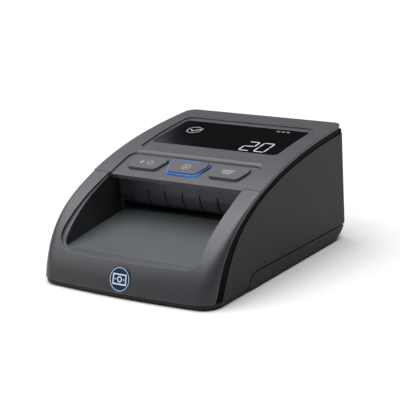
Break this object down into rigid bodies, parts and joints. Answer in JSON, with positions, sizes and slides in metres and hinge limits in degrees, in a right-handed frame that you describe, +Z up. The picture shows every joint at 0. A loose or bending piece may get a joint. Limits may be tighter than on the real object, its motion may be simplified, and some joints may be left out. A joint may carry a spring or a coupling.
{
  "type": "banknote counter",
  "caption": "Compact desktop banknote tester and counter: open note tray, keypad and display on a lifting top cover, motor-driven note path with a rear outlet.",
  "frame": {"origin": "on the table, at the middle of the machine's footprint box", "axes": "+Z up, -Y towards the user and the note tray, +X to the user's right"},
  "size_m": [0.128, 0.166, 0.0752],
  "materials": {
    "grey_plastic": "fine-grained satin mid-grey moulding",
    "side_plastic": "dark charcoal matte moulding",
    "black_gloss": "black smooth moulding",
    "base_plastic": "black textured moulding",
    "tray_plastic": "dark smooth note tray",
    "guide_plastic": "dark ribbed guide",
    "window_gloss": "black high-gloss display window",
    "sensor_glass": "clear flat glass",
    "key_plastic": "satin grey key cap",
    "ring_light": "blue translucent light ring",
    "badge_blue": "blue and white enamelled disc",
    "circuit_board": "green lacquered board",
    "chip_black": "black component body",
    "steel": "turned steel",
    "socket_metal": "plated sheet",
    "bronze": "sintered bronze bush",
    "tyre_rubber": "soft black rubber",
    "white_gear": "natural acetal",
    "foot_rubber": "black rubber foot"
  },
  "bodies": {
    "base": {"base_housing": "base_plastic", "front_frame": "grey_plastic", "feed_tray": "tray_plastic", "side_panel_left": "side_plastic", "side_panel_right": "side_plastic", "trim_strip_left": "black_gloss", "trim_strip_right": "black_gloss", "rear_panel": "side_plastic", "chassis_plate_left": "steel", "chassis_plate_right": "steel", "lower_guide": "tray_plastic", "lower_sensor_glass": "sensor_glass", "lower_sensor_board": "circuit_board", "lower_sensors": "chip_black", "drive_motor": "steel", "shaft_bushes": "bronze", "drive_belt": "tyre_rubber", "encoder_sensor": "chip_black", "main_board": "circuit_board", "board_parts": "chip_black", "board_posts": "base_plastic", "buzzer": "chip_black", "socket_board": "circuit_board", "dc_socket": "chip_black", "usb_socket": "socket_metal", "rubber_feet": "foot_rubber", "case_screws": "steel", "hinge_pin": "steel", "hinge_brackets": "base_plastic", "front_badge": "badge_blue"},
    "cover": {"top_cover": "grey_plastic", "display_window": "window_gloss", "display_module": "chip_black", "display_board": "circuit_board", "power_light_ring": "ring_light", "key_board": "circuit_board", "key_switches": "chip_black", "feed_guide": "guide_plastic", "upper_guide": "guide_plastic", "upper_sensor_glass": "sensor_glass", "upper_sensor_board": "circuit_board", "upper_sensors": "chip_black", "idler_axles": "steel"},
    "front_drive": {"front_shaft": "steel", "front_tyres": "tyre_rubber", "front_hubs": "white_gear", "front_pulley": "white_gear", "drive_wheel": "white_gear"},
    "rear_drive": {"rear_shaft": "steel", "rear_tyres": "tyre_rubber", "rear_hubs": "white_gear", "rear_pulley": "white_gear", "encoder_wheel": "chip_black"},
    "motor_gear": {"motor_pinion": "bronze"},
    "key_add": {"key_add": "key_plastic"},
    "key_power": {"key_power": "key_plastic"},
    "key_menu": {"key_menu": "key_plastic"},
    "front_idler_pair": {"front_idlers": "white_gear"},
    "rear_idler_pair": {"rear_idlers": "white_gear"}
  },
  "joints": [
    {"name": "cover_hinge", "type": "hinge", "parent": "base", "child": "cover", "pos_m": [0, 0.0803, 0.0694], "axis": [-1, 0, 0], "range_deg": [0, 55]},
    {"name": "front_shaft_spin", "type": "hinge", "parent": "base", "child": "front_drive", "pos_m": [0, 0.014, 0.0226], "axis": [1, 0, 0], "continuous": true},
    {"name": "rear_shaft_spin", "type": "hinge", "parent": "base", "child": "rear_drive", "pos_m": [0, 0.064, 0.0226], "axis": [1, 0, 0], "continuous": true},
    {"name": "motor_spin", "type": "hinge", "parent": "base", "child": "motor_gear", "pos_m": [-0.055, 0.03355, 0.01549], "axis": [1, 0, 0], "continuous": true},
    {"name": "front_idler_spin", "type": "hinge", "parent": "cover", "child": "front_idler_pair", "pos_m": [0, 0.014, 0.0361], "axis": [1, 0, 0], "continuous": true},
    {"name": "rear_idler_spin", "type": "hinge", "parent": "cover", "child": "rear_idler_pair", "pos_m": [0, 0.064, 0.0361], "axis": [1, 0, 0], "continuous": true},
    {"name": "key_add_press", "type": "slide", "parent": "cover", "child": "key_add", "axis": [0, 0.2924, -0.9563], "range_m": [0, 0.0008], "stiffness_N_per_m": 400},
    {"name": "key_power_press", "type": "slide", "parent": "cover", "child": "key_power", "axis": [0, 0.2924, -0.9563], "range_m": [0, 0.0008], "stiffness_N_per_m": 400},
    {"name": "key_menu_press", "type": "slide", "parent": "cover", "child": "key_menu", "axis": [0, 0.2924, -0.9563], "range_m": [0, 0.0008], "stiffness_N_per_m": 400}
  ],
  "couplings": [
    {"joint": "rear_shaft_spin", "follows": "front_shaft_spin", "ratio": 1},
    {"joint": "motor_spin", "follows": "front_shaft_spin", "ratio": -3.3333},
    {"joint": "front_idler_spin", "follows": "front_shaft_spin", "ratio": -1.6},
    {"joint": "rear_idler_spin", "follows": "front_shaft_spin", "ratio": -1.6}
  ]
}
